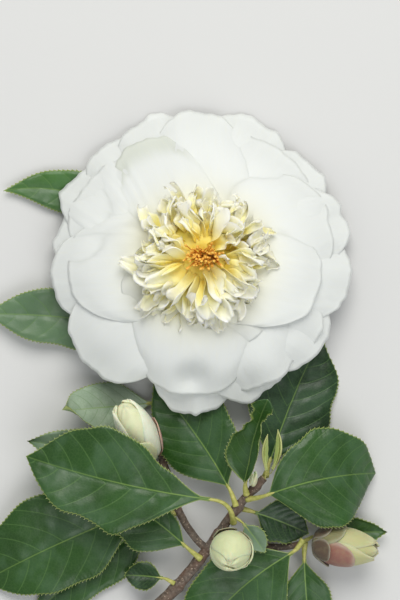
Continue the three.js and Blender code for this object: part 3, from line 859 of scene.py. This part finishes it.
for seed, (name, bud) in enumerate(BUDS.items()):
    parts = [egg_core(bud)]
    parts += [bud_scale(bud, scale, seed + k) for k, scale in enumerate(bud["scales"])]
    points, faces, uv, tint = gather(parts)
    egg = mesh_piece(name, put(points), faces, [bud_skin], None, uv, tint=tint)
    finish(egg, "bud", name)

# ------------------------
# The calyx behind the bloom: a cup of broad green scales that overlap like tiles, on the
# swollen end of the twig.

CUP = dict(base=(0, 12.7, 0), heading=0, pitch=90, length=20, radius=7.4, widest=0.5, core=GREEN_SCALE)
CUP_TOP = 0.5

core = egg_core(CUP)
core[0][:, 2] = np.minimum(core[0][:, 2], CUP["length"] * CUP_TOP)
parts = [core]
for k, scale in enumerate(scales(5, 0.16, CUP_TOP, 44, 0.1, CREAM_GREEN, 30, 0, 0.5)
                          + scales(5, 0.06, 0.4, 42, 0.75, GREEN_SCALE, 66, 0, 0.5)
                          + scales(4, 0.0, 0.26, 40, 1.3, GREEN_SCALE, 10, 0, 0.4)):
    parts.append(bud_scale(CUP, scale, k))
points, faces, uv, tint = gather(parts)
points = points * MM
points += np.array([bloom_x, bloom_y, calyx_high.z]) - np.array([0, BLOOM[1] * MM, points[:, 2].max()])
calyx = mesh_piece("calyx", points, faces, [bud_skin], None, uv, tint=tint)
finish(calyx, "calyx", "calyx")

# ------------------------
# The outer petals: two rows of broad white petals that arch back from the middle of the
# bloom, each a thin rounded lobe, puffed along its length and soft and wavy at its margin.

RIM_HEIGHT = 8.9
DOME_RISE = 15.0
DOME_RADIUS = 50.0
TILT_DROP = 0.14
PETAL_THICKNESS = 0.24
PETAL_ACROSS = 45
PETAL_ALONG = 42
PETAL_FOOT = 3.0
TABLE_GAP = 0.8
PETAL_WHITE = (0.83, 0.855, 0.82)
PETAL_CREAM = (0.9, 0.87, 0.62)
# A grey-green painted shade, laid near the end of a petal whose margin curls over.
PETAL_SHADE = (0.6, 0.64, 0.5)

rim_height = bloom_place[2] / MM - BLOOM[2] + RIM_HEIGHT


def dome(x, y):
    """Height in millimetres of the arched bloom, at a place measured from its middle."""
    return rim_height + DOME_RISE * (1 - (x * x + y * y) / DOME_RADIUS ** 2) - TILT_DROP * y


def petal(angle, reach, width, level, lean=0.4, crown=1.2, rise=0.0, droop=0.9, ruffle=0.55,
          dent=0.0, shade=0.0):
    """One petal: where it points, its reach and width, how it stacks and bends, and the painted shade
    near its end.
    """
    return dict(locals())


BACK_ROW = [
    petal(111, 52.4, 36, 0.5), petal(69, 52.8, 38, 0.4), petal(40, 50.6, 36, 0.6),
    petal(17, 51.2, 36, 0.9), petal(-7, 51.2, 36, 0.7, lean=-0.4), petal(-36, 50.2, 36, 0.6, lean=-0.4),
    petal(-66, 49.4, 34, 0.5, lean=-0.3), petal(-93, 51.2, 33, -1.2, lean=0, crown=0.6),
    petal(-138, 47, 36, 0.2), petal(-166, 46, 36, 0.3), petal(168, 49.2, 34, 0.5),
    petal(149, 52.4, 34, 0.6), petal(131, 51.6, 34, 0.8),
]
FRONT_ROW = [
    petal(54, 47, 46, 1.4, droop=0.3, crown=0.6, ruffle=0.2),
    petal(20, 46, 44, 1.8, droop=0.3, crown=0.6, ruffle=0.2),
    petal(150, 47, 46, 1.3, lean=-0.4, droop=0.3, crown=0.6, ruffle=0.15),
    # This petal carries a grey-green painted shade near its curled end.
    petal(118, 46, 32, 2.3, lean=-0.7, shade=0.5, droop=0.0, crown=0.5, ruffle=0.1),
    petal(91, 51.4, 36, 2.1, lean=0, crown=0.8, droop=0.5, ruffle=0.3),
    petal(188, 50.4, 36, 1.7, lean=-0.3, droop=0.5), petal(-139, 51.6, 40, 1.6, lean=0),
    petal(-37, 47.6, 34, 1.4, lean=0), petal(-59, 47, 36, 2.1, lean=0.2, crown=1.6),
    petal(-95, 44.4, 43, 3.0, lean=0, crown=2.4, droop=1.3, dent=1.5),
    petal(-11, 41, 36, 3.2, lean=-1.5, crown=1.0, rise=0.6, droop=0.5, ruffle=0.3),
    petal(184, 44.4, 38, 2.4, lean=1.2, crown=1.0, rise=0.5, droop=0.5, ruffle=0.3),
    petal(-46, 31, 34, 3.4, lean=0, crown=1.2, rise=0.5, droop=0.5),
    petal(214, 28, 28, 3.4, lean=0, rise=0.4, droop=0.5),
    petal(-90, 24.5, 18, 4.0, lean=0, crown=0.8, rise=0.3, droop=0.4),
]


white_petal, tree, shader = new_material("white_petal", PETAL_WHITE, 0.5)
marks = split(tree, mark(tree, "petal"))
stretched = node(tree, "ShaderNodeMapping", Vector=own_map(tree), Scale=(3.4, 0.35, 1))
veins = node(tree, "ShaderNodeTexNoise", Vector=stretched.outputs["Vector"], Scale=6.0, Detail=3.0,
             Roughness=0.6).outputs["Fac"]
tint = mix_colour(tree, marks["X"], PETAL_WHITE, PETAL_CREAM)
# Mixes in the grey-green painted shade where a petal's marks ask for it.
tint = mix_colour(tree, marks["Y"], tint, PETAL_SHADE)
tint = mix_colour(tree, fade(tree, veins, 0.45, 0.7, 0.0, 0.1), tint, PETAL_CREAM)
gloss = fade(tree, speckle(tree, object_place(tree), 2.5), 0.3, 0.7, 0.46, 0.6)
wire(tree, shader, Base_Color=tint, Roughness=gloss, Subsurface_Weight=0.2,
     Subsurface_Radius=(1.0, 0.97, 0.85), Subsurface_Scale=0.0015, Sheen_Weight=0.2,
     Sheen_Roughness=0.4)
bump(tree, shader, veins, 0.25, 0.12)


def petal_shell(shape, seed):
    """A petal as a thin closed shell over the dome, with its own map and marks."""
    u = np.linspace(-1, 1, PETAL_ACROSS)[None, :]
    v = np.linspace(0, 1, PETAL_ALONG)[:, None]
    end = 0.4 + 0.6 * np.sqrt((1 - np.abs(u) ** 2.8).clip(0))
    strip = field(u[0], 0, 0)
    scallop = 0.042 * grain(strip, 0.5, seed) + 0.018 * grain(strip, 0.17, seed + 3)
    reach = shape["reach"] * (end + scallop[None, :])
    out = PETAL_FOOT + (reach - PETAL_FOOT) * v
    sideways = shape["width"] / 2 * u * (0.22 + 0.78 * smooth(v, -0.1, 0.62))
    turn = math.radians(shape["angle"])
    x = out * math.cos(turn) - sideways * math.sin(turn)
    y = out * math.sin(turn) + sideways * math.cos(turn)
    r = np.hypot(x, y)
    z = dome(x, y) + shape["level"] * smooth(r, 2, 20) + shape["lean"] * u * smooth(v, 0.1, 0.6)
    z = z + shape["crown"] * (1 - u * u) * np.sin(np.pi * v.clip(0, 1) ** 1.3)
    z = z + shape["rise"] * v ** 2 - shape["droop"] * smooth(v, 0.75, 1.0) ** 1.5
    waves = np.sin(4.4 * u + 1.7 * seed) + 0.6 * np.sin(8.1 * u + 2.3 * seed)
    z = z + shape["ruffle"] * waves * smooth(v, 0.45, 1.0) ** 2
    z = z - shape["dent"] * 2.4 * np.exp(-(u / 0.25) ** 2 - ((v - 0.86) / 0.1) ** 2)
    # Where a petal reaches the table, it bends and rests there.
    z = TABLE_GAP + 0.5 * (z - TABLE_GAP + np.sqrt((z - TABLE_GAP) ** 2 + 1))
    place = field(x, y, z)
    ridges = grain(field(u * shape["width"] * 0.3, v * 1.3, 0), 1.0, seed)
    clear = smooth(z, TABLE_GAP, TABLE_GAP + 3)
    place[..., 2] += (0.5 * grain(place, 13.0, seed + 2) + 0.14 * ridges * smooth(v, 0.1, 0.5)) * clear
    thick = (PETAL_THICKNESS * (1 - 0.65 * smooth(v, 0.6, 1.0)) + 0 * u)[..., None] / 2
    normal = np.cross(np.gradient(place, axis=0), np.gradient(place, axis=1))
    normal = unit(normal + [0, 0, 1e-6])
    points, faces = shell(place + thick * normal, place - thick * normal)
    cream = smooth(r, 34, 12)
    # Painted shade: a grey-green band near the petal's end, fading out towards its sides.
    shaded = shape["shade"] * smooth(v, 0.78, 0.93) * smooth(np.abs(u), 1.0, 0.6)
    marks = field(cream * 0.8, shaded, 0)
    return points, faces, both(field(sideways, out) / 10), both(marks)


def place_bloom(points):
    """Puts bloom points, in millimetres from its middle, into the sprig."""
    return points * MM + np.array([bloom_x, bloom_y, 0])


for name, row, first in (("petals_back", BACK_ROW, 100), ("petals_front", FRONT_ROW, 200)):
    points, faces, uv, marks = gather([petal_shell(shape, first + k) for k, shape in enumerate(row)])
    petals = mesh_piece(name, place_bloom(points), faces, [white_petal], None, uv, petal=marks)
    finish(petals, "petal", name)

# ------------------------
# The crowded middle of the bloom: narrow crumpled petals that grew in place of stamens,
# white at their tips and golden where they are packed together at the foot.

CROWD_SEED = 437
CROWD_FOOT = 2.2
MOUND_RISE = 9.0
MOUND_RADIUS = 15.5
MOUND_HOLLOW = 4.0
HOLLOW_RADIUS = 4.0
INNER_ACROSS = 13
INNER_ALONG = 24
HEART_RADIUS = 14.0
HEART_SHIFT = (0.3, 1.7)
CROWD_COUNT = 116
CROWD_NEAR = 2.0
CROWD_FAR = 15.0
GOLDEN_TURN = 2.39996

inner_petal_skin, tree, shader = new_material("inner_petal_skin", (0.88, 0.84, 0.6), 0.5)
veins = node(tree, "ShaderNodeTexNoise", Vector=own_map(tree), Scale=9.0, Detail=3.0).outputs["Fac"]
streak = reckon(tree, "MULTIPLY", reckon(tree, "SUBTRACT", veins, 0.5), 0.14)
along = reckon(tree, "ADD", split(tree, mark(tree, "petal"))["X"], streak)
tint = ramp(tree, along, (0.0, (0.92, 0.54, 0.03)), (0.2, (0.98, 0.77, 0.14)), (0.42, (0.99, 0.9, 0.4)),
            (0.7, (0.99, 0.95, 0.64)), (1.0, (0.99, 0.97, 0.81)))
wire(tree, shader, Base_Color=tint, Subsurface_Weight=0.4, Subsurface_Radius=(1.0, 0.85, 0.4),
     Subsurface_Scale=0.0015)
bump(tree, shader, veins, 0.25, 0.1)

rng = np.random.default_rng(CROWD_SEED)


def mound(x, y):
    """Height of the bloom's heaped middle, with a hollow where the stamens stand."""
    square = x * x + y * y
    heap = MOUND_RISE * np.clip(1 - square / MOUND_RADIUS ** 2, 0, 1)
    return dome(x, y) + CROWD_FOOT + heap - MOUND_HOLLOW * np.exp(-square / HOLLOW_RADIUS ** 2)


def inner_petal(azimuth, foot, rise, bend, length, width, fold, seed, twist, ruffle, sway, hook, pale):
    """A narrow folded petal that rises from the bloom's middle and bends over outwards."""
    v = np.linspace(0, 1, INNER_ALONG)
    u = np.linspace(-1, 1, INNER_ACROSS)[None, :]
    slope = np.radians(rise - bend * v ** 1.5 + hook * smooth(v, 0.7, 1.0))
    step = length / (INNER_ALONG - 1)
    out = foot + np.concatenate([[0], np.cumsum(np.cos(slope[:-1]) * step)])
    up = np.concatenate([[0], np.cumsum(np.sin(slope[:-1]) * step)])
    ca, sa = math.cos(math.radians(azimuth)), math.sin(math.radians(azimuth))
    foot_height = mound(foot * ca, foot * sa)
    drift = sway * v ** 1.6
    line = field(out * ca - drift * sa, out * sa + drift * ca, foot_height + up)
    ahead = unit(np.gradient(line, axis=0))
    across = unit(np.cross([0, 0, 1], ahead) + 0.02 * np.array([-sa, ca, 0]))
    over = np.cross(ahead, across)
    turn = (twist * smooth(v, 0.0, 0.6))[:, None]
    side = across * np.cos(turn) + over * np.sin(turn)
    face = over * np.cos(turn) - across * np.sin(turn)
    v = v[:, None]
    shape = np.sin(np.pi * (0.08 + 0.86 * v) ** 1.45).clip(0) ** 0.42
    half = width / 2 * shape * (1 + 0.15 * np.sin(7 * v + seed) + 0.12 * u * np.sin(5 * v + 2 * seed))
    ragged = 1.1 * grain(field(1.6 * u, seed, 0), 0.5, 3)
    lift = fold * half * (np.abs(u) ** 1.3 - 0.4)
    crumple = ruffle * (np.sin(4.3 * v + 3.1 * u + seed) * np.abs(u)
                        + 0.6 * np.sin(11 * v + 1.3 * seed) * u * u) * smooth(v, 0.2, 0.9)
    drawn_in = math.sqrt(max(0.3, 1 - 0.35 * fold))
    middle = line[:, None] + (u * half * drawn_in)[..., None] * side[:, None]
    middle = middle + (ragged * smooth(v, 0.7, 1.0))[..., None] * ahead[:, None]
    middle = middle + (lift + crumple)[..., None] * face[:, None]
    middle = middle + 0.7 * grain(middle, 3.4, seed)[..., None] * face[:, None]
    thick = 0.14 * face[:, None]
    points, faces = shell(middle + thick, middle - thick)
    whiteness = (0.1 + pale + 0.74 * v ** 1.6 + 0.36 * np.abs(u) ** 3 * smooth(v, 0.4, 0.9)).clip(0, 1)
    return points, faces, both(field(u * half, v * length) / 10), both(field(whiteness, 0, 0))


def bloom_heart():
    """The golden seat of the small petals and stamens, closing the bloom's middle."""
    r = np.linspace(0.4, HEART_RADIUS, 12)[:, None]
    turn = np.linspace(0, 2 * np.pi, 37)[None, :]
    x, y = r * np.cos(turn), r * np.sin(turn)
    top = field(x, y, mound(x, y) + 0.5)
    points, faces = shell(top[:, ::-1], top[:, ::-1] - [0, 0, 0.6])
    marks = np.tile([0.2, 0, 0], (len(points), 1))
    return points, faces, points[:, :2] / 10, marks


parts = [bloom_heart()]
for k in range(CROWD_COUNT):
    azimuth = math.degrees(k * GOLDEN_TURN) + rng.normal(0, 13)
    far = math.sqrt((k + 0.5) / CROWD_COUNT)
    around = math.radians(azimuth)
    uneven = 1 + 0.1 * math.sin(3 * around + 1.2) + 0.06 * math.sin(5 * around)
    foot = CROWD_NEAR + (CROWD_FAR - CROWD_NEAR) * far * uneven + rng.normal(0, 0.4)
    # The petals on the stem's side hang open and long; those beyond the middle stand on edge.
    open_out = smooth(-math.sin(around), -0.25, 0.5)
    on_edge = 1 - open_out
    rise = 46 - 24 * far + rng.normal(0, 13)
    bend = (42 + 26 * open_out) * (0.8 + 0.3 * far) + rng.normal(0, 12)
    length = (9.6 + 6.4 * open_out * (1 - 0.75 * far)) * rng.uniform(0.65, 1.15)
    width = (5.6 + 1.5 * open_out) * rng.uniform(0.65, 1.25)
    twist = rng.choice([-1, 1]) * on_edge * (1.35 - far) * rng.uniform(0.4, 1.2)
    twist += rng.normal(0, 0.4)
    fold = 0.7 + 0.3 * on_edge + rng.normal(0, 0.25)
    parts.append(inner_petal(azimuth, foot, rise, bend, length, width, fold, rng.uniform(0, 50), twist,
                             rng.uniform(1.2, 2.6), rng.normal(0, 3.6), rng.normal(0, 50),
                             0.05 + 0.06 * far + 0.05 * open_out + rng.normal(0, 0.05)))
points, faces, uv, marks = gather(parts)
points = points + [HEART_SHIFT[0], HEART_SHIFT[1], 0]
crowd = mesh_piece("petals_centre", place_bloom(points), faces, [inner_petal_skin], None, uv,
                   petal=marks)
finish(crowd, "inner_petal", "petals_centre")

# ------------------------
# The stamens: a ragged tuft of orange stalks with golden heads in the very middle of
# the bloom, half buried in the small petals.

TUFT_COUNT = 84
TUFT_ACROSS = 3.9
TUFT_DEEP = 1.9
TUFT_SHIFT = (1.3, 1.5)
TUFT_TURN = 137.5
STAMEN_HEIGHT = 9.5 * MM
STAMEN_THICKNESS = 0.24 * MM
HEAD_RADIUS = 0.7 * MM

stamen_stalk = two_tone("stamen_stalk", (0.8, 0.4, 0.06), 0.5, 1.5, (0.35, (0.8, 0.3, 0.03)),
                        (0.7, (0.95, 0.62, 0.12)))
stamen_head = two_tone("stamen_head", (0.6, 0.25, 0.05), 0.8, 0.7, (0.35, (0.82, 0.36, 0.03)),
                       (0.62, (1.0, 0.66, 0.14)), (0.7, 0.15))

tuft_sizes = dict(Height=STAMEN_HEIGHT, Thickness=STAMEN_THICKNESS, Head=HEAD_RADIUS)
tuft_tree, source, result = new_growth("stamen_tuft", **tuft_sizes)
top = node(tuft_tree, "ShaderNodeCombineXYZ", Z=source["Height"])
knee = node(tuft_tree, "ShaderNodeVectorMath", {"operation": "MULTIPLY_ADD"}, i0=top.outputs[0],
            i1=(0, 0, 0.55), i2=(0.0008, 0.0003, 0))
bow = node(tuft_tree, "GeometryNodeCurveQuadraticBezier", Resolution=6, Start=(0, 0, 0),
           Middle=knee.outputs[0], End=top.outputs[0])
section = node(tuft_tree, "GeometryNodeCurvePrimitiveCircle", Resolution=5,
               Radius=source["Thickness"])
stalk = node(tuft_tree, "GeometryNodeCurveToMesh", Curve=bow.outputs["Curve"],
             i1=section.outputs["Curve"], Fill_Caps=True)
head = node(tuft_tree, "GeometryNodeMeshUVSphere", Segments=8, Rings=6, Radius=source["Head"])
head = node(tuft_tree, "GeometryNodeTransform", Geometry=head.outputs["Mesh"],
            Translation=top.outputs[0], Scale=(0.75, 0.6, 1.5))
head = node(tuft_tree, "GeometryNodeStoreNamedAttribute", {"data_type": "BOOLEAN", "domain": "FACE"},
            Geometry=head.outputs[0], Name="head", Value=True)
size = node(tuft_tree, "FunctionNodeRandomValue", {"data_type": "FLOAT"}, i2=0.7, i3=1.1, Seed=5)
stalks = scatter(tuft_tree, stamen_stalk, Points=source["Geometry"], Scale=size.outputs[1],
                 Instance=join(tuft_tree, stalk.outputs["Mesh"], head.outputs[0]),
                 Rotation=along_way(tuft_tree))
is_head = node(tuft_tree, "GeometryNodeInputNamedAttribute", {"data_type": "BOOLEAN"}, Name="head")
heads = node(tuft_tree, "GeometryNodeSetMaterial", Geometry=stalks,
             Selection=is_head.outputs["Attribute"], Material=stamen_head)
tuft_tree.links.new(heads.outputs["Geometry"], result)

turns = np.arange(TUFT_COUNT) * math.radians(TUFT_TURN)
out = np.sqrt((np.arange(TUFT_COUNT) + 0.5) / TUFT_COUNT)
x, y = TUFT_ACROSS * out * np.cos(turns), TUFT_DEEP * out * np.sin(turns)
feet = field(x + TUFT_SHIFT[0], y + TUFT_SHIFT[1], mound(x, y))
ways = unit(field(0.06 * x, 0.06 * y, 1) + rng.normal(0, 0.15, (TUFT_COUNT, 3)))
stamens = bare_points("stamens", place_bloom(feet), ways)
grow(stamens, tuft_tree, **tuft_sizes)
for polygon in stamens.data.polygons:
    polygon.use_smooth = True
finish(stamens, "inner_petal")

# ------------------------
# The boxes of the CAD model, taken at the start, and of the finished one.

shown_box = [list(corner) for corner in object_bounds()]
